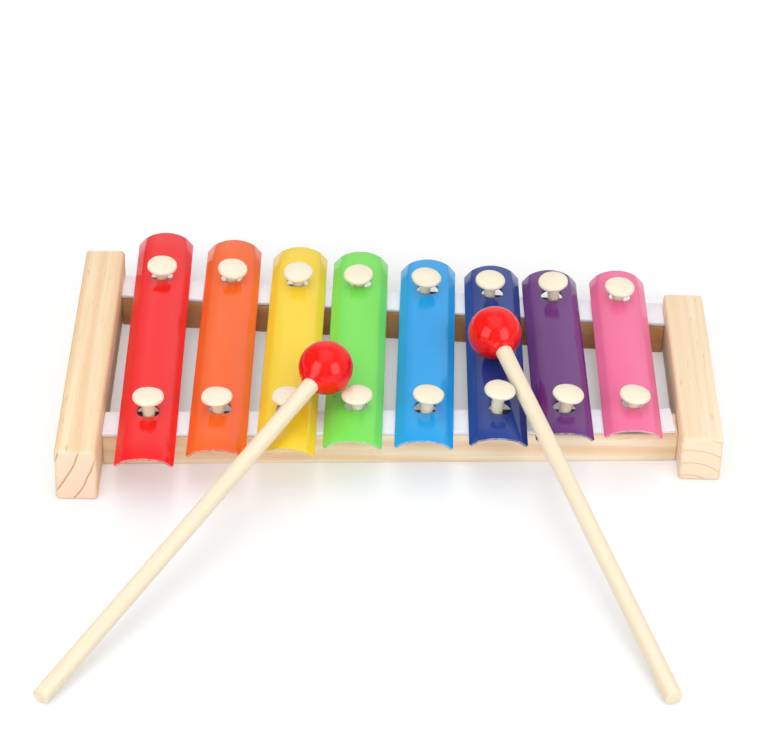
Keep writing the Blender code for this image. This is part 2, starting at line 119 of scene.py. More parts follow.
# Height over the lowest peg, lean to the right in degrees, foot to the right and back
PEGS = {
    "front": (
        (1.9 * MM, -0.6, 0.4 * MM, -0.2 * MM),
        (1.15 * MM, -3.1, 0.0 * MM, 0.7 * MM),
        (1.55 * MM, -1.4, 0.2 * MM, 0.1 * MM),
        (0.8 * MM, -1.2, 1.4 * MM, 1.8 * MM),
        (1.9 * MM, 4.0, 0.3 * MM, 0.4 * MM),
        (3.9 * MM, 5.3, -1.1 * MM, 0.0 * MM),
        (1.75 * MM, 6.8, -0.1 * MM, 0.4 * MM),
        (0.1 * MM, 3.8, 0.1 * MM, 2.0 * MM),
    ),
    "back": (
        (0.6 * MM, 2.8, -0.4 * MM, 0.8 * MM),
        (0.2 * MM, 4.5, -0.4 * MM, 1.6 * MM),
        (0.85 * MM, -1.8, 0.4 * MM, 0.8 * MM),
        (0.0 * MM, -2.0, -0.2 * MM, 2.5 * MM),
        (1.65 * MM, 4.7, -1.9 * MM, 0.6 * MM),
        (2.1 * MM, 0.7, -1.4 * MM, 0.5 * MM),
        (3.0 * MM, -4.7, 1.3 * MM, 0.5 * MM),
        (0.75 * MM, 3.4, -1.1 * MM, 2.1 * MM),
    ),
}
SIDES = {"front": -1, "back": 1}

INNER_LENGTH = sum(bar[1] for bar in BARS) + len(BARS) * BAR_WIDTH + LAST_GAP
INNER_FACE = INNER_LENGTH / 2
FOAM_BOTTOM = RAIL_HEIGHT + CLEARANCE
FOAM_TOP = FOAM_BOTTOM + FOAM_THICKNESS
ARCH_RADIUS = ((BAR_WIDTH / 2) ** 2 + BAR_RISE ** 2) / (2 * BAR_RISE)
ARCH_HALF_ANGLE = math.asin(BAR_WIDTH / 2 / ARCH_RADIUS)
BAR_CROWN = FOAM_TOP + CLEARANCE + BAR_THICKNESS * math.cos(ARCH_HALF_ANGLE) + BAR_RISE
ARCH_CENTRE_Z = BAR_CROWN - ARCH_RADIUS
PEG_LOWEST = BAR_CROWN + BAR_LIFT + PEG_PLAY

# The part's source centres the footprint; this is how far it moved everything to the back
LEFT_BLOCK_FRONT = -RAIL_SPACING_LEFT / 2 - RAIL_WIDTH / 2 - BLOCK_FRONT_REACH
ORIGIN_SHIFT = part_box("left_end_block")[0].y - LEFT_BLOCK_FRONT

# What the dressed pieces add to the solids. Cuts are spans above the rail's top.
BLOCK_ROUNDING = 1.5 * MM
RAIL_ROUNDING = 0.7 * MM
RAIL_END_GAP = 0.02 * MM
PEG_HOLE_CUT = (-PEG_HOLE_DEPTH, 3.0 * MM)
FOAM_HOLE_CUT = (-3.0 * MM, 6.0 * MM)
BAR_HOLE_CUT = (1.0 * MM, 14.0 * MM)

# Foam: it overhangs the rail, is pressed under the bars' edges and has torn back round the pegs
FOAM_OVERHANG = 0.25 * MM
FOAM_END_REACH = 0.28 * MM
FOAM_STEPS = 216
FOAM_ROUNDING = 0.45 * MM
FOAM_PRESS = 0.28 * MM
FOAM_PRESS_WIDTH = 1.6 * MM
FOAM_WAVE = 0.10 * MM
FOAM_SLANT_LENGTH = 8.0 * MM
FOAM_HOLE_RADIUS = 4.9 * MM
# Painted shade under each bar: dark grey as far as this from a crossing, and fading out to that
FOAM_PAINTED_SHADE = (6.0 * MM, 9.5 * MM)

# The arch is round in the middle and folds into steeper flanks: where, as shares of half the width
FOLD = (0.66, 0.80)
CROWN_TURN = math.radians(39.0)
FLANK_TURN = math.radians(46.0)
SECTION_STEPS = 40
LENGTH_STEPS = 14
BAR_EDGE_ROUNDING = 0.18 * MM
# A darker copy of each paint for the rounded edges and the hole walls: painted shade
RIM_PAINTED_SHADE = (0.45, 0.45, 0.45)
# The slots of a bar's faces; the rim's slot holds a darker copy of the paint as painted shade
PAINT_SLOT, EDGE_SLOT, RIM_SLOT = 0, 1, 2

PEG_STEPS = 48
PEG_FILLET = 0.5 * MM
PEG_SHANK_RING = 3.0 * MM
PEG_TIP_CHAMFER = 0.6 * MM
# A moulded head is warped and swollen a little, and keeps a stub where its gate was
PEG_WARP = 0.22 * MM
PEG_SWELL = 0.018
PEG_GATE = 0.16 * MM
# The stubs' directions in degrees: the first one's in each row, and the turn from peg to peg
FIRST_GATE = {"front": 40, "back": 200}
NEXT_GATE = 83

STICK_ROUNDING = 0.5 * MM
STICK_STEPS = 40
STICK_RINGS = 25
# Sanding has left a stick uneven and a tenth of a millimetre under its size, as shares of it
STICK_UNEVEN = 0.010
STICK_SANDED = 0.036
STICK_SANDED_FROM = 8.0 * MM
BALL_STEPS = 64
BALL_RINGS = 60
BALL_HOLE_PLAY = 0.08 * MM
BALL_HOLE_OVERRUN = 3.0 * MM
BALL_HOLE_ROUNDING = 0.25 * MM
# The lacquer's lip where the stick goes in: its height, its foot and its flat top's width
LIP = {"left": 0.9 * MM, "right": 1.2 * MM}
LIP_FOOT = 5.4 * MM
LIP_TOP = 0.5 * MM

# How far a ring in the pine strays from a circle, slowly and in small ripples
RING_WANDER = 2.2 * MM
RING_RIPPLE = 0.7 * MM


def rail_line(side, x):
    share = (x + INNER_FACE) / INNER_LENGTH
    spacing = RAIL_SPACING_LEFT + share * (RAIL_SPACING_RIGHT - RAIL_SPACING_LEFT)
    return ORIGIN_SHIFT + side * spacing / 2 - share * RAIL_SKEW


def bar_middle(index):
    gaps = sum(bar[1] for bar in BARS[:index + 1])
    x = -INNER_FACE + gaps + (index + 0.5) * BAR_WIDTH
    return Vector((x, rail_line(0, x) + BARS[index][4], ARCH_CENTRE_Z))


def crossing(word, index):
    """Where a bar's middle line crosses a rail's, at the height of the rail's top."""
    middle = bar_middle(index)
    y = rail_line(SIDES[word], middle.x)
    aside = (y - middle.y) * math.tan(math.radians(BARS[index][2]))
    return Vector((middle.x + aside, y, RAIL_HEIGHT))


def hole_middle(word, index):
    return crossing(word, index) + Vector((*HOLES[word][index], 0))


def peg_place(word, index):
    """A peg's frame, its zero on the rail's top, its Z along the leaning peg."""
    _, lean, aside, back = PEGS[word][index]
    nod = BACK_PEG_NOD if word == "back" else 0.0
    foot = crossing(word, index) + Vector((aside, back, 0))
    turn = Matrix.Rotation(math.radians(lean), 4, "Y") @ Matrix.Rotation(nod, 4, "X")
    return Matrix.Translation(foot) @ turn


# ---- small mesh tools


def link(obj):
    bpy.context.scene.collection.objects.link(obj)
    return obj


def from_bmesh(name, tool):
    mesh = bpy.data.meshes.new(name)
    tool.to_mesh(mesh)
    tool.free()
    return link(bpy.data.objects.new(name, mesh))


def apply_all(obj):
    depsgraph = bpy.context.evaluated_depsgraph_get()
    mesh = bpy.data.meshes.new_from_object(obj.evaluated_get(depsgraph))
    obj.modifiers.clear()
    old = obj.data
    obj.data = mesh
    bpy.data.meshes.remove(old)


def smooth(obj, angle=38):
    obj.data.shade_smooth()
    obj.data.set_sharp_from_angle(angle=math.radians(angle))


def coat(obj, material):
    obj.data.materials.clear()
    obj.data.materials.append(material)


def eased(share):
    """Rises smoothly from 0 to 1 and stays there."""
    share = min(max(share, 0.0), 1.0)
    return share * share * (3 - 2 * share)


def drill(obj, holes, wall_slot=0, steps=40):
    """Cuts round holes, each a place matrix, a radius and a span along the matrix's Z."""
    tool = bmesh.new()
    for place, radius, low, high in holes:
        turn = place @ Matrix.Translation((0, 0, (low + high) / 2))
        bmesh.ops.create_cone(
            tool, cap_ends=True, segments=steps, radius1=radius, radius2=radius,
            depth=high - low, matrix=turn,
        )
    cutter = from_bmesh("cutter", tool)
    for _ in range(wall_slot + 1):
        cutter.data.materials.append(None)
    for face in cutter.data.polygons:
        face.material_index = wall_slot
    boolean = obj.modifiers.new("drill", "BOOLEAN")
    boolean.operation = "DIFFERENCE"
    boolean.solver = "EXACT"
    boolean.object = cutter
    apply_all(obj)
    bpy.data.objects.remove(cutter, do_unlink=True)


def round_edges(obj, width, segments=3, angle=40, slot=-1):
    bevel = obj.modifiers.new("round", "BEVEL")
    bevel.material = slot
    bevel.width = width
    bevel.segments = segments
    bevel.limit_method = "ANGLE"
    bevel.angle_limit = math.radians(angle)
    apply_all(obj)


# ---- materials


def shaded(colour, shares):
    return tuple(part * share for part, share in zip(colour, shares))


def stretched(along, across_scale, along_scale):
    """A mapping's scale, with its own value along one axis."""
    return tuple(along_scale if axis == along else across_scale for axis in "XYZ")


class Tree:
    """A short way to write a node tree."""

    def __init__(self, tree):
        self.tree = tree

    def add(self, kind, inputs=None, **settings):
        node = self.tree.nodes.new(kind)
        for key, value in settings.items():
            setattr(node, key, value)
        for key, value in (inputs or {}).items():
            self.put(node.inputs[key], value)
        return node

    def put(self, socket, value):
        if isinstance(value, bpy.types.NodeSocket):
            self.tree.links.new(value, socket)
        else:
            socket.default_value = value

    def math(self, operation, a, b=0.0):
        return self.add("ShaderNodeMath", {0: a, 1: b}, operation=operation).outputs[0]

    def ramp(self, value, stops):
        node = self.add("ShaderNodeValToRGB", {"Fac": value})
        elements = node.color_ramp.elements
        while len(elements) < len(stops):
            elements.new(0.5)
        for element, (place, colour) in zip(elements, stops):
            element.position = place
            element.color = (*colour, 1.0)
        return node.outputs["Color"]

    def grey_ramp(self, value, stops):
        return self.ramp(value, [(place, (level, level, level)) for place, level in stops])

    def span(self, value, low, high, new_low, new_high, smoothed=False):
        node = self.add(
            "ShaderNodeMapRange",
            {"Value": value, 1: low, 2: high, 3: new_low, 4: new_high},
        )
        if smoothed:
            node.interpolation_type = "SMOOTHSTEP"
        return node.outputs[0]


class Nodes(Tree):
    """A material on a Principled shader, whose patterns lie in the object's coordinates."""

    def __init__(self, name):
        self.material = bpy.data.materials.new(name)
        self.material.use_nodes = True
        super().__init__(self.material.node_tree)
        self.shader = self.tree.nodes["Principled BSDF"]
        self.coords = self.add("ShaderNodeTexCoord")

    def scaled(self, scale=(1.0, 1.0, 1.0), offset=(0, 0, 0)):
        inputs = {"Vector": self.coords.outputs["Object"], "Scale": scale, "Location": offset}
        return self.add("ShaderNodeMapping", inputs).outputs[0]

    def noise(self, vector, scale=1.0, detail=2.0, rough=0.5):
        inputs = {"Vector": vector, "Scale": scale, "Detail": detail, "Roughness": rough}
        return self.add("ShaderNodeTexNoise", inputs).outputs["Fac"]

    def mix(self, factor, a, b):
        node = self.add("ShaderNodeMix", data_type="RGBA")
        self.put(node.inputs["Factor"], factor)
        for socket, value in ((node.inputs[6], a), (node.inputs[7], b)):
            if isinstance(value, tuple) and len(value) == 3:
                value = (*value, 1.0)
            self.put(socket, value)
        return node.outputs[2]

    def bump(self, height, strength, distance):
        node = self.add(
            "ShaderNodeBump",
            {"Height": height, "Strength": strength, "Distance": distance},
        )
        self.put(self.shader.inputs["Normal"], node.outputs[0])

    def finish(self, colour, roughness, **others):
        self.put(self.shader.inputs["Base Color"], colour)
        self.put(self.shader.inputs["Roughness"], roughness)
        for key, value in others.items():
            self.put(self.shader.inputs[key.replace("_", " ")], value)
        return self.material


def pine(name, along, pith, spacing, tones, seed, line):
    """Pine: soft streaks along the piece, fine fibres, and ring lines that show on the ends.

    The rings lie round the pith, a place across the piece and up. The tones are those of early
    wood, of late wood, of the ring lines and of the cut ends. The line is how strong a ring shows.
    """
    pale, dark, late, end_pale = tones
    n = Nodes(name)
    split = n.add("ShaderNodeSeparateXYZ", {0: n.coords.outputs["Object"]})
    across = split.outputs["X" if along == "Y" else "Y"]
    up = split.outputs["Z"]

    stretch = stretched(along, 1.0, 0.06)
    slow = n.noise(n.scaled(stretch, (seed, seed, seed)), 70.0, 1.0)
    wander = n.math("MULTIPLY", n.math("SUBTRACT", slow, 0.5), RING_WANDER)
    fine_slow = n.noise(n.scaled(stretch, (seed, 0, 0)), 420.0, 2.0)
    ripple = n.math("MULTIPLY", n.math("SUBTRACT", fine_slow, 0.5), RING_RIPPLE)
    a = n.math("ADD", n.math("SUBTRACT", across, pith[0]), wander)
    b = n.math("ADD", n.math("SUBTRACT", up, pith[1]), ripple)
    radius = n.math("SQRT", n.math("ADD", n.math("MULTIPLY", a, a), n.math("MULTIPLY", b, b)))
    ring = n.math("FRACT", n.math("DIVIDE", radius, spacing))

    body = n.ramp(ring, ((0.0, pale), (0.35, pale), (0.80, dark), (1.0, pale)))
    streaks = n.noise(n.scaled(stretched(along, 260.0, 7.0), (seed, 1.0, 0)), 1.0, 2.0, 0.5)
    body = n.mix(n.span(streaks, 0.35, 0.72, 0.0, 0.75), body, dark)

    fibres = n.noise(n.scaled(stretched(along, 900.0, 22.0)), 1.0, 3.0, 0.6)
    fibre_tone = shaded(dark, (0.92, 0.86, 0.78))
    colour = n.mix(n.span(fibres, 0.45, 0.75, 0.0, 0.30), body, fibre_tone)
    dashes = n.noise(n.scaled(stretched(along, 620.0, 95.0), (seed, 3.0, 1.0)), 1.0, 1.0, 0.4)
    colour = n.mix(n.span(dashes, 0.68, 0.77, 0.0, 0.36), colour, late)

    face = n.add("ShaderNodeSeparateXYZ", {0: n.coords.outputs["Normal"]}).outputs[along]
    end = n.math("POWER", n.math("ABSOLUTE", face), 4.0)
    pores = n.noise(n.scaled((1500.0, 1500.0, 1500.0)), 1.0, 2.0, 0.7)
    pore_tone = shaded(end_pale, (0.95, 0.88, 0.80))
    end_colour = n.mix(n.span(pores, 0.4, 0.75, 0.0, 0.45), end_pale, pore_tone)
    colour = n.mix(n.math("MULTIPLY", end, 0.9), colour, end_colour)
    stops = ((0.0, line * 0.5), (0.035, 0.0), (0.88, 0.0), (0.95, line), (1.0, line))
    thin = n.grey_ramp(ring, stops)
    thin = n.math("MULTIPLY", thin, n.span(end, 0.0, 1.0, 0.12, 1.0))
    colour = n.mix(thin, colour, late)

    n.bump(n.math("ADD", fibres, n.math("MULTIPLY", thin, -0.6)), 0.25, 0.12 * MM)
    roughness = n.span(fibres, 0.3, 0.7, 0.50, 0.66)
    return n.finish(colour, roughness, Specular_IOR_Level=0.35)


def paint(name, colour, deep):
    """Glossy enamel on sheet: a faint orange-peel wave and a slightly deeper tone in places."""
    n = Nodes(name)
    cloud = n.noise(n.scaled((1.0, 0.35, 1.0)), 60.0, 2.0)
    tone = n.mix(n.span(cloud, 0.35, 0.7, 0.0, 0.35), colour, deep)
    peel = n.noise(n.scaled((1.0, 0.6, 1.0)), 240.0, 1.0)
    n.bump(peel, 0.10, 0.08 * MM)
    specks = n.noise(n.scaled(), 2600.0, 1.0)
    roughness = n.span(specks, 0.55, 0.8, 0.08, 0.14)
    return n.finish(tone, roughness, Specular_IOR_Level=0.5)


def cut_edge(name, colour):
    """The sheet's cut edge, where the paint is thin and the metal shows in places."""
    n = Nodes(name)
    worn = n.noise(n.scaled(), 900.0, 3.0, 0.7)
    metal = (0.86, 0.85, 0.84)
    thin = shaded(colour, (0.75, 0.75, 0.75))
    tone = n.mix(n.span(worn, 0.42, 0.6, 0.12, 0.42), thin, metal)
    lines = n.noise(n.scaled((300.0, 300.0, 4000.0)), 1.0, 1.0)
    n.bump(lines, 0.2, 0.05 * MM)
    return n.finish(tone, n.span(worn, 0.3, 0.7, 0.45, 0.32), Metallic=0.15)


def peg_plastic():
    n = Nodes("peg_cream_plastic")
    cloud = n.noise(n.scaled(), 130.0, 2.0)
    colour = n.mix(cloud, (0.86, 0.76, 0.58), (0.89, 0.795, 0.62))
    flow = n.noise(n.scaled((1.0, 1.0, 0.5)), 700.0, 2.0)
    n.bump(flow, 0.14, 0.12 * MM)
    roughness = n.span(flow, 0.3, 0.7, 0.30, 0.42)
    return n.finish(
        colour, roughness, Subsurface_Weight=0.20, Subsurface_Radius=(1.0, 0.8, 0.5),
        Subsurface_Scale=0.004,
    )


def foam(word):
    """White foam, painted dark grey round each crossing as shade where a bar covers it."""
    n = Nodes("foam_" + word)
    cells = n.add(
        "ShaderNodeTexVoronoi", {"Vector": n.coords.outputs["Object"], "Scale": 2100.0},
    ).outputs["Distance"]
    cloud = n.noise(n.scaled(), 160.0, 2.0)
    colour = n.mix(cloud, (0.82, 0.82, 0.86), (0.88, 0.88, 0.91))
    colour = n.mix(n.span(cells, 0.0, 0.35, 0.22, 0.0), colour, (0.70, 0.70, 0.76))
    along = n.add("ShaderNodeSeparateXYZ", {0: n.coords.outputs["Object"]}).outputs[0]
    to_peg = 1.0
    for index in range(len(BARS)):
        distance = n.math("SUBTRACT", along, crossing(word, index).x)
        to_peg = n.math("MINIMUM", n.math("ABSOLUTE", distance), to_peg)
    # Painted shade under the bars: dark grey round each crossing
    shade_under_bars = n.span(to_peg, *FOAM_PAINTED_SHADE, 0.9, 0.0, True)
    colour = n.mix(shade_under_bars, colour, (0.20, 0.175, 0.15))
    n.bump(cells, 0.35, 0.10 * MM)
    return n.finish(
        colour, n.span(cells, 0.0, 0.6, 0.95, 0.80), Sheen_Weight=0.15,
        Specular_IOR_Level=0.25,
    )


def stick_wood(name, along):
    """Pale dowel: fibres run along the stick, whose direction is given."""
    n = Nodes(name)
    turn = Vector(along).to_track_quat("Z", "Y").to_matrix().inverted().to_euler()
    lined_up = n.add(
        "ShaderNodeMapping",
        {"Vector": n.coords.outputs["Object"], "Rotation": tuple(turn)},
    ).outputs[0]
    long_grain = n.add(
        "ShaderNodeMapping", {"Vector": lined_up, "Scale": (520.0, 520.0, 9.0)},
    ).outputs[0]
    broad = n.noise(long_grain, 0.6, 2.0, 0.55)
    fine = n.noise(long_grain, 2.2, 3.0, 0.6)
    pale, warm = (0.88, 0.765, 0.575), (0.82, 0.67, 0.45)
    colour = n.mix(n.span(broad, 0.42, 0.72, 0.0, 0.75), pale, warm)
    colour = n.mix(n.span(fine, 0.58, 0.78, 0.0, 0.40), colour, (0.66, 0.48, 0.28))
    patches = n.noise(n.scaled(), 28.0, 1.0)
    colour = n.mix(n.span(patches, 0.4, 0.7, 0.0, 0.25), colour, (0.85, 0.72, 0.50))
    n.bump(fine, 0.22, 0.12 * MM)
    return n.finish(colour, n.span(fine, 0.3, 0.7, 0.52, 0.68), Specular_IOR_Level=0.35)


def red_lacquer():
    n = Nodes("bead_red_lacquer")
    cloud = n.noise(n.scaled(), 90.0, 2.0)
    colour = n.mix(n.span(cloud, 0.35, 0.7, 0.0, 0.5), (0.90, 0.005, 0.003), (0.80, 0.003, 0.002))
    peel = n.noise(n.scaled(), 330.0, 2.0)
    n.bump(peel, 0.10, 0.10 * MM)
    return n.finish(colour, n.span(peel, 0.3, 0.7, 0.15, 0.19), Specular_IOR_Level=0.42)


PAINTS = {
    "red": ((0.90, 0.010, 0.012), (0.80, 0.004, 0.006)),
    "orange": ((0.92, 0.135, 0.016), (0.88, 0.095, 0.006)),
    "yellow": ((0.93, 0.66, 0.035), (0.90, 0.58, 0.012)),
    "green": ((0.20, 0.76, 0.10), (0.15, 0.68, 0.065)),
    "blue": ((0.010, 0.36, 0.80), (0.006, 0.30, 0.72)),
    "indigo": ((0.013, 0.047, 0.265), (0.009, 0.034, 0.21)),
    "purple": ((0.150, 0.034, 0.208), (0.122, 0.024, 0.172)),
    "pink": ((0.89, 0.165, 0.34), (0.83, 0.115, 0.28)),
}

left_pine = pine(
    "pine_left_block", "Y", (-169.5 * MM, 37.2 * MM), 7.0 * MM,
    ((0.93, 0.75, 0.505), (0.84, 0.58, 0.34), (0.50, 0.22, 0.10), (0.91, 0.66, 0.50)), 0.0, 0.8,
)
right_pine = pine(
    "pine_right_block", "Y", (112.6 * MM, -8.9 * MM), 5.85 * MM,
    ((0.95, 0.80, 0.59), (0.86, 0.64, 0.41), (0.60, 0.33, 0.17), (0.93, 0.72, 0.53)), 2.0, 0.55,
)
front_pine = pine(
    "pine_front_rail", "X", (-25.0 * MM, -30.0 * MM), 5.2 * MM,
    ((0.95, 0.83, 0.62), (0.86, 0.60, 0.38), (0.64, 0.34, 0.17), (0.93, 0.72, 0.53)), 4.0, 0.5,
)
# Painted shade: the back rail's pine is darker and more orange than the front rail's, for the deep
# shade on its inner face between the bars
back_pine_painted_shade = pine(
    "pine_back_rail_painted_shade", "X", (160.0 * MM, -20.0 * MM), 4.6 * MM,
    ((0.76, 0.42, 0.19), (0.66, 0.32, 0.13), (0.56, 0.27, 0.12), (0.88, 0.62, 0.40)), 6.0, 0.5,
)
plastic = peg_plastic()
lacquer = red_lacquer()


# ---- blocks and rails


def dowel_holes(side, end):
    middle = Vector((end * INNER_FACE, rail_line(side, end * INNER_FACE), RAIL_HEIGHT / 2))
    place = Matrix.Translation(middle) @ Matrix.Rotation(end * math.pi / 2, 4, "Y")
    return place, DOWEL_RADIUS + CLEARANCE, -DOWEL_IN_RAIL - CLEARANCE, DOWEL_IN_BLOCK + CLEARANCE


def make_block(name, node, end, wood):
    low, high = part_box(node)
    tool = bmesh.new()
    bmesh.ops.create_cube(tool, size=1.0)
    for vertex in tool.verts:
        for axis in range(3):
            vertex.co[axis] = low[axis] if vertex.co[axis] < 0 else high[axis]
    block = from_bmesh(name, tool)
    round_edges(block, BLOCK_ROUNDING, 6)
    drill(block, [dowel_holes(-1, end), dowel_holes(1, end)])
    smooth(block)
    coat(block, wood)
    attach(block, "frame")
    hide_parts(node)


make_block("left_block_wood", "left_end_block", -1, left_pine)
make_block("right_block_wood", "right_end_block", 1, right_pine)


def strip_along_rail(name, side, x_low, x_high, half, z_low, z_high, steps):
    """A box of several steps that follows a rail's centre line."""
    tool = bmesh.new()
    rows = []
    for step in range(steps + 1):
        x = x_low + (x_high - x_low) * step / steps
        y = rail_line(side, x)
        corners = ((-half, z_low), (half, z_low), (half, z_high), (-half, z_high))
        rows.append([tool.verts.new((x, y + a, b)) for a, b in corners])
    for one, two in zip(rows, rows[1:]):
        for i in range(4):
            j = (i + 1) % 4
            tool.faces.new((one[i], one[j], two[j], two[i]))
    tool.faces.new(rows[0][::-1])
    tool.faces.new(rows[-1])
    bmesh.ops.recalc_face_normals(tool, faces=tool.faces)
    return from_bmesh(name, tool)


def make_rail(word, wood):
    side = SIDES[word]
    end = INNER_FACE - RAIL_END_GAP
    rail = strip_along_rail(
        word + "_rail_wood", side, -end, end, RAIL_WIDTH / 2, 0.0, RAIL_HEIGHT, 1,
    )
    round_edges(rail, RAIL_ROUNDING)
    holes = [dowel_holes(side, -1), dowel_holes(side, 1)]
    for index in range(len(BARS)):
        holes.append((peg_place(word, index), PEG_SHANK_RADIUS + CLEARANCE, *PEG_HOLE_CUT))
    drill(rail, holes)
    smooth(rail)
    coat(rail, wood)
    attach(rail, "frame")
    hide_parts(word + "_rail")


make_rail("front", front_pine)
make_rail("back", back_pine_painted_shade)


def make_foam(word):
    """The strip swells a little between the bars and lies lower under their edges."""
    side = SIDES[word]
    low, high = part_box(word + "_foam_strip")
    half = RAIL_WIDTH / 2 + FOAM_OVERHANG
    x_low = low.x - FOAM_END_REACH
    x_high = high.x + (FOAM_END_REACH if word == "back" else 0.0)
    strip = strip_along_rail(
        word + "_foam", side, x_low, x_high, half, FOAM_BOTTOM, FOAM_TOP, FOAM_STEPS,
    )
    bar_edges = []
    for index in range(len(BARS)):
        x = crossing(word, index).x
        bar_edges += [x - BAR_WIDTH / 2, x + BAR_WIDTH / 2]
    for vertex in strip.data.vertices:
        co = vertex.co
        if co.z > FOAM_BOTTOM + FOAM_THICKNESS / 2:
            near = min(abs(co.x - x) for x in bar_edges)
            press = FOAM_PRESS * math.exp(-((near / FOAM_PRESS_WIDTH) ** 2))
            co.z += noise.noise(co * 90.0) * FOAM_WAVE - press
        outward = 1 if co.y > rail_line(side, co.x) else -1
        co.y += outward * noise.noise(co * 60.0) * FOAM_WAVE
        if word == "front" and outward > 0:
            near_end = max(0.0, 1 - (high.x - co.x) / FOAM_SLANT_LENGTH)
            co.x -= FRONT_FOAM_SLANT * near_end
    round_edges(strip, FOAM_ROUNDING, 3, 50)
    holes = []
    for index in range(len(BARS)):
        holes.append((peg_place(word, index), FOAM_HOLE_RADIUS, *FOAM_HOLE_CUT))
    drill(strip, holes)
    smooth(strip, 50)
    coat(strip, foam(word))
    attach(strip, "frame")
    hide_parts(word + "_foam_strip")


make_foam("front")
make_foam("back")


# ---- bars


def bar_end(across_share, length):
    """How far the sheet reaches from its middle: the ends bulge and their corners are round."""
    distance = abs(across_share) * ARCH_RADIUS * ARCH_HALF_ANGLE
    corner_start = ARCH_RADIUS * ARCH_HALF_ANGLE - BAR_CORNER
    reach = length / 2 - BAR_END_BULGE * across_share ** 2
    if distance > corner_start:
        into_corner = min(distance - corner_start, BAR_CORNER)
        reach -= BAR_CORNER - math.sqrt(BAR_CORNER ** 2 - into_corner ** 2)
    return reach


def bar_section():
    """The arch from its crown to its edge: places aside and how far they lie below the crown."""
    points = [(0.0, 0.0)]
    wide = BAR_WIDTH / 2 / SECTION_STEPS
    for step in range(SECTION_STEPS):
        share = (step + 0.5) / SECTION_STEPS
        fold = eased((share - FOLD[0]) / (FOLD[1] - FOLD[0]))
        turn = CROWN_TURN * share * (1 - fold) + FLANK_TURN * fold
        aside, drop = points[-1]
        points.append((aside + wide, drop + wide * math.tan(turn)))
    scale = BAR_RISE / points[-1][1]
    return [(aside, drop * scale) for aside, drop in points]


SECTION = bar_section()


def section_drop(aside):
    """How far the sheet's outer face lies below the crown, at a place aside."""
    place = min(abs(aside) / (BAR_WIDTH / 2), 1.0) * SECTION_STEPS
    low = min(int(place), SECTION_STEPS - 1)
    share = place - low
    return SECTION[low][1] * (1 - share) + SECTION[low + 1][1] * share


def make_bar(index):
    colour_name, _, turn, length, _ = BARS[index]
    tool = bmesh.new()
    rows = []
    for j in range(LENGTH_STEPS + 1):
        run = -1 + 2 * j / LENGTH_STEPS
        row = []
        for i in range(-SECTION_STEPS, SECTION_STEPS + 1):
            aside, drop = SECTION[abs(i)]
            share = math.asin(min(aside / ARCH_RADIUS, 1.0)) / ARCH_HALF_ANGLE
            y = run * bar_end(min(share, 1.0), length)
            row.append(tool.verts.new((math.copysign(aside, i), y, ARCH_RADIUS - drop)))
        rows.append(row)
    for low, high in zip(rows, rows[1:]):
        for i in range(2 * SECTION_STEPS):
            tool.faces.new((low[i], low[i + 1], high[i + 1], high[i]))
    bar = from_bmesh("sheet_" + colour_name, tool)
    sheet = bar.modifiers.new("sheet", "SOLIDIFY")
    sheet.thickness = BAR_THICKNESS
    sheet.offset = -1
    sheet.use_rim = True
    sheet.material_offset_rim = EDGE_SLOT
    for _ in (PAINT_SLOT, EDGE_SLOT, RIM_SLOT):
        bar.data.materials.append(None)
    place = Matrix.Translation(bar_middle(index)) @ Matrix.Rotation(math.radians(-turn), 4, "Z")
    apply_all(bar)
    bar.data.transform(place)
    holes = []
    for word in SIDES:
        middle = Matrix.Translation(hole_middle(word, index))
        holes.append((middle, BAR_HOLE_RADIUS, *BAR_HOLE_CUT))
    drill(bar, holes, RIM_SLOT, 48)
    round_edges(bar, BAR_EDGE_ROUNDING, 2, 50, RIM_SLOT)
    # Painted shade: the upper rounded edges and the hole walls get a darker copy of the paint, and
    # the lower part of each end wall stays bare
    home = place.inverted()
    for face in bar.data.polygons:
        spot = home @ face.center
        inside = abs(spot.x) < 2 * BAR_HOLE_RADIUS and abs(spot.y) < length / 2 - BAR_HOLE_RADIUS
        low = ARCH_RADIUS - section_drop(spot.x) - spot.z > BAR_THICKNESS / 2
        if face.material_index == RIM_SLOT and low and not inside:
            face.material_index = EDGE_SLOT
    smooth(bar, 30)
    bright, deep = PAINTS[colour_name]
    # Painted shade: the paint darkened for the rim's slot
    rim = [shaded(tone, RIM_PAINTED_SHADE) for tone in (bright, deep)]
    bar.data.materials[PAINT_SLOT] = paint("paint_" + colour_name, bright, deep)
    bar.data.materials[EDGE_SLOT] = cut_edge("edge_" + colour_name, bright)
    bar.data.materials[RIM_SLOT] = paint("painted_shade_rim_" + colour_name, *rim)
    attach(bar, "bar_%d" % (index + 1))
    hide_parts("bar_%d_%s" % (index + 1, colour_name))


for bar_index in range(len(BARS)):
    make_bar(bar_index)


# ---- pegs


def lathe(name, points, steps):
    """A closed turned body from an outline of radius and height, axis Z, first and last at 0."""
    tool = bmesh.new()
    rings = []
    for radius, height in points:
        if radius == 0:
            rings.append([tool.verts.new((0, 0, height))])
            continue
        ring = []
        for step in range(steps):
            angle = 2 * math.pi * step / steps
            ring.append(tool.verts.new((
                radius * math.cos(angle), radius * math.sin(angle), height,
            )))
        rings.append(ring)
    for one, two in zip(rings, rings[1:]):
        for i in range(steps):
            j = (i + 1) % steps
            corners = (
                one[i % len(one)], two[i % len(two)], two[j % len(two)], one[j % len(one)],
            )
            unique = []
            for vertex in corners:
                if vertex not in unique:
                    unique.append(vertex)
            if len(unique) > 2:
                tool.faces.new(unique)
    bmesh.ops.recalc_face_normals(tool, faces=tool.faces)
    return from_bmesh(name, tool)


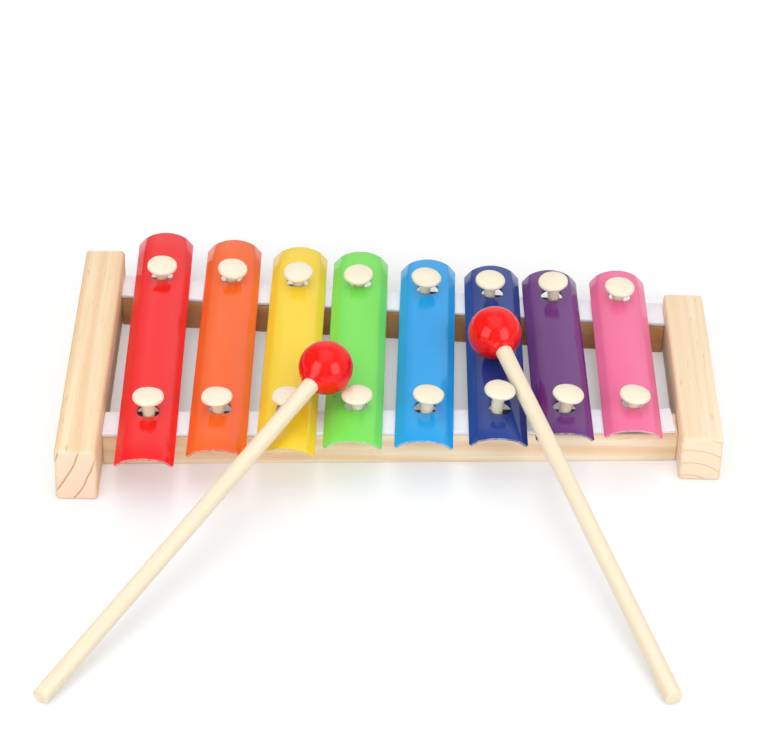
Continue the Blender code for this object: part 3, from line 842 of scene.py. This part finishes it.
def peg_outline():
    """From the dome's top over the head's round edge and down the shank to its tip."""
    top = 2 * PEG_HEAD_EDGE + PEG_HEAD_DOME
    rim = PEG_HEAD_RADIUS - PEG_HEAD_EDGE
    points = [(0, top)]
    for share in (0.15, 0.3, 0.45, 0.6, 0.72, 0.82, 0.9, 0.96):
        points.append((rim * share, 2 * PEG_HEAD_EDGE + PEG_HEAD_DOME * (1 - share ** 2)))
    for step in range(9):
        angle = math.pi / 2 - step * math.pi / 8
        points.append((
            rim + PEG_HEAD_EDGE * math.cos(angle), PEG_HEAD_EDGE * (1 + math.sin(angle)),
        ))
    for step in range(5):
        angle = step * math.pi / 8
        points.append((
            PEG_SHANK_RADIUS + PEG_FILLET * (1 - math.sin(angle)),
            -PEG_FILLET * (1 - math.cos(angle)),
        ))
    points += [
        (PEG_SHANK_RADIUS, -PEG_SHANK_RING),
        (PEG_SHANK_RADIUS, -PEG_SHANK_LENGTH + PEG_TIP_CHAMFER),
        (PEG_SHANK_RADIUS - PEG_TIP_CHAMFER, -PEG_SHANK_LENGTH),
        (0, -PEG_SHANK_LENGTH),
    ]
    return points


def make_peg(word, index):
    peg = lathe("peg_%s_%s" % (word, BARS[index][0]), peg_outline(), PEG_STEPS)
    seed = Vector((index * 1.7, SIDES[word] * 2.3, 0.4))
    gate = math.radians((index * NEXT_GATE + FIRST_GATE[word]) % 360)
    gate_way = Vector((math.cos(gate), math.sin(gate)))
    for vertex in peg.data.vertices:
        co = vertex.co
        reach = co.xy.length
        if co.z > -0.01 * MM and reach > 0:
            share = min(reach / PEG_HEAD_RADIUS, 1.0)
            warp = noise.noise(Vector((co.x * 110, co.y * 110, 0)) + seed)
            co.z += warp * PEG_WARP * share ** 2
            swell = 1 + PEG_SWELL * share * noise.noise(Vector((co.x, co.y, 0)) * 160 + seed)
            co.x *= swell
            co.y *= swell
            facing = max(0.0, co.xy.normalized().dot(gate_way))
            if share > 0.93 and facing > 0.98:
                co.x += gate_way.x * PEG_GATE
                co.y += gate_way.y * PEG_GATE
    place = peg_place(word, index)
    height = (PEG_LOWEST + PEGS[word][index][0] - RAIL_HEIGHT) / place.col[2].z
    peg.data.transform(place @ Matrix.Translation((0, 0, height)))
    smooth(peg, 50)
    coat(peg, plastic)
    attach(peg, "frame")
    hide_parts("peg_%s_%d" % (word, index + 1))


for row_word in PEGS:
    for peg_index in range(len(BARS)):
        make_peg(row_word, peg_index)


# ---- mallets


def mallet_axis(word):
    """Ball centre and the stick's direction, read from the part's own solids."""
    low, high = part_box("mallet_%s_ball" % word)
    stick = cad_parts["mallet_%s_stick" % word]
    points = [Vector(v.co) for v in stick.data.vertices]
    top = low.z + BALL_RADIUS
    centre = Vector(((low.x + high.x) / 2, (low.y + high.y) / 2, top))
    far = [p for p in points if (p - centre).length > MALLET_REACH[word] * 0.9]
    end = sum(far, Vector()) / len(far)
    return centre, (end - centre).normalized()


def make_mallet(word):
    centre, way = mallet_axis(word)
    turn = way.to_track_quat("-Z", "Y").to_matrix().to_4x4()
    place = Matrix.Translation(centre) @ turn
    body = "mallet_" + word
    reach = MALLET_REACH[word]

    start = BALL_RADIUS - STICK_IN_BALL
    edge = STICK_ROUNDING
    plain = reach - start - 2 * edge
    outline = [(0, -start), (STICK_RADIUS - edge, -start), (STICK_RADIUS, -start - edge)]
    for step in range(1, STICK_RINGS):
        outline.append((STICK_RADIUS, -start - edge - plain * step / STICK_RINGS))
    for step in range(6):
        angle = step * math.pi / 10
        outline.append((
            STICK_RADIUS - edge * (1 - math.cos(angle)),
            -reach + edge * (1 - math.sin(angle)),
        ))
    outline.append((0, -reach))
    stick = lathe("stick_" + word, outline, STICK_STEPS)
    for vertex in stick.data.vertices:
        co = vertex.co
        outside = -BALL_RADIUS - co.z
        if co.xy.length > 0 and outside > 0:
            uneven = noise.noise(Vector((co.x * 150, co.y * 150, co.z * 18))) * STICK_UNEVEN
            uneven -= STICK_SANDED * min(outside / STICK_SANDED_FROM, 1.0)
            co.x *= 1 + uneven
            co.y *= 1 + uneven
    stick.data.transform(place)
    smooth(stick, 50)
    coat(stick, stick_wood("stick_wood_" + word, way))
    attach(stick, body)
    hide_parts("mallet_%s_stick" % word)

    # The rings lie closer near the stick's hole
    profile = []
    for step in range(BALL_RINGS + 1):
        angle = math.pi * math.sin(step * math.pi / (2 * BALL_RINGS))
        aside, height = BALL_RADIUS * math.sin(angle), BALL_RADIUS * math.cos(angle)
        if height < 0:
            near = (LIP_FOOT - aside) / (LIP_FOOT - STICK_RADIUS - LIP_TOP)
            height -= LIP[word] * eased(near)
        profile.append((0 if step in (0, BALL_RINGS) else aside, height))
    bead = lathe("bead_" + word, profile, BALL_STEPS)
    drill(bead, [(
        Matrix.Identity(4), STICK_RADIUS + BALL_HOLE_PLAY, -BALL_RADIUS - BALL_HOLE_OVERRUN,
        -start + CLEARANCE,
    )])
    round_edges(bead, BALL_HOLE_ROUNDING, 3, 45)
    bead.data.transform(place)
    smooth(bead, 40)
    coat(bead, lacquer)
    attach(bead, body)
    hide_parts("mallet_%s_ball" % word)


make_mallet("left")
make_mallet("right")

# The hidden dowels keep their solids
dowel_wood = stick_wood("dowel_plain_wood", (1, 0, 0))
for node_name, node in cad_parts.items():
    if node_name.startswith("dowel_"):
        coat(node, dowel_wood)


# ---- floor, light and camera


WHITE = (1.0, 1.0, 1.0, 1.0)


def make_floor():
    """A white floor that keeps the toy's shadow."""
    tool = bmesh.new()
    bmesh.ops.create_grid(tool, x_segments=1, y_segments=1, size=6.0)
    floor = from_bmesh("floor", tool)
    material = bpy.data.materials.new("floor_white")
    material.use_nodes = True
    t = Tree(material.node_tree)
    t.tree.nodes.clear()
    path = t.add("ShaderNodeLightPath")
    coords = t.add("ShaderNodeTexCoord")
    length = t.add("ShaderNodeVectorMath", {0: coords.outputs["Object"]}, operation="LENGTH")
    away = length.outputs["Value"]
    # In gloss the sweep is dimmer away from the toy
    fade = t.span(away, 0.12, 0.40, 1.0, 0.1)
    mirrored = t.math("MULTIPLY", path.outputs["Is Glossy Ray"], fade)
    seen = t.math("MAXIMUM", path.outputs["Is Camera Ray"], mirrored)
    # The sweep is lit a little more away from the toy, and again far behind it
    sweep = t.span(away, 0.12, 0.32, 0.25, 0.42)
    level = t.math("ADD", sweep, t.span(away, 0.8, 2.0, 0.0, 0.6))
    strength = t.math("MULTIPLY", seen, level)
    glow = t.add("ShaderNodeEmission", {"Color": WHITE, "Strength": strength})
    diffuse = t.add("ShaderNodeBsdfDiffuse", {"Color": (0.70, 0.70, 0.70, 1.0)})
    both = t.add("ShaderNodeAddShader", {0: diffuse.outputs[0], 1: glow.outputs[0]})
    t.add("ShaderNodeOutputMaterial", {"Surface": both.outputs[0]})
    floor.data.materials.append(material)


make_floor()


def make_world():
    """White behind everything; in gloss, a white sweep that ends above the horizon."""
    world = bpy.data.worlds.new("studio")
    bpy.context.scene.world = world
    world.use_nodes = True
    t = Tree(world.node_tree)
    t.tree.nodes.clear()
    path = t.add("ShaderNodeLightPath")
    coords = t.add("ShaderNodeTexCoord")
    split = t.add("ShaderNodeSeparateXYZ", {0: coords.outputs["Generated"]})
    stops = ((0.0, 0.40), (0.20, 0.75), (0.50, 0.92), (0.85, 0.45), (1.0, 0.40))
    sweep = t.grey_ramp(split.outputs["Z"], stops)
    # The camera's side of the room is dimmer than the sweep behind the toy
    depth = t.span(split.outputs["Y"], -0.75, 0.15, 0.28, 1.0)
    # A dark flag stands at the left, so the left shoulders of the bars mirror less
    flag = t.span(split.outputs["X"], -0.55, -0.25, 0.35, 1.0)
    strength = t.math("MULTIPLY", depth, flag)
    gloss = t.add("ShaderNodeBackground", {"Color": sweep, "Strength": strength})
    # The soft light comes mostly from a long bank overhead that runs from front to back
    bank = t.span(t.math("ABSOLUTE", split.outputs["X"]), 0.07, 0.20, 2.35, 0.34)
    fill = t.add("ShaderNodeBackground", {"Color": (0.97, 0.98, 1.0, 1.0), "Strength": bank})
    seen = t.add("ShaderNodeBackground", {"Color": WHITE, "Strength": 1.0})
    first = t.add(
        "ShaderNodeMixShader",
        {0: path.outputs["Is Glossy Ray"], 1: fill.outputs[0], 2: gloss.outputs[0]},
    )
    clear = t.math("MAXIMUM", path.outputs["Is Camera Ray"], path.outputs["Is Transmission Ray"])
    last = t.add("ShaderNodeMixShader", {0: clear, 1: first.outputs[0], 2: seen.outputs[0]})
    t.add("ShaderNodeOutputWorld", {"Surface": last.outputs[0]})


make_world()

LIT_PLACE = Vector((0.0, ORIGIN_SHIFT, 0.02))


def softbox(name, azimuth, elevation, distance, width, height, power):
    """A soft lamp that faces the toy, its azimuth in degrees to the right of the front."""
    light = bpy.data.lights.new(name, "AREA")
    light.shape = "RECTANGLE"
    light.size = width
    light.size_y = height
    light.energy = power
    obj = link(bpy.data.objects.new(name, light))
    a, e = math.radians(azimuth), math.radians(elevation)
    way = Vector((math.sin(a) * math.cos(e), -math.cos(a) * math.cos(e), math.sin(e)))
    obj.location = LIT_PLACE + way * distance
    obj.rotation_euler = (-way).to_track_quat("-Z", "Y").to_euler()


softbox("left_softbox", -45, 27, 1.6, 1.0, 1.25, 9.8)
softbox("right_softbox", 45, 24, 1.6, 1.0, 1.25, 9.8)
softbox("top_softbox", 0, 86, 1.5, 1.6, 1.6, 5.2)


def make_camera():
    """The photograph's view, solved from the part's own edges."""
    pitch = math.radians(35.574)
    yaw = math.radians(0.471)
    roll = math.radians(1.437)
    place = (-0.01146, -0.91838 + ORIGIN_SHIFT, 0.66304)
    way = Vector((
        math.sin(yaw) * math.cos(pitch), math.cos(yaw) * math.cos(pitch), -math.sin(pitch),
    ))
    right = Vector((math.cos(yaw), -math.sin(yaw), 0.0))
    up = right.cross(way)
    turned_right = math.cos(roll) * right + math.sin(roll) * up
    turned_up = -math.sin(roll) * right + math.cos(roll) * up
    data = bpy.data.cameras.new("camera")
    data.sensor_width = 36.0
    data.sensor_fit = "HORIZONTAL"
    data.lens = 135.16
    data.clip_end = 20.0
    camera = link(bpy.data.objects.new("camera", data))
    matrix = Matrix.Identity(4)
    matrix.col[0][:3] = turned_right
    matrix.col[1][:3] = turned_up
    matrix.col[2][:3] = -way
    matrix.col[3][:3] = place
    camera.matrix_world = matrix
    bpy.context.scene.camera = camera


make_camera()
bpy.context.scene.view_settings.view_transform = "Standard"
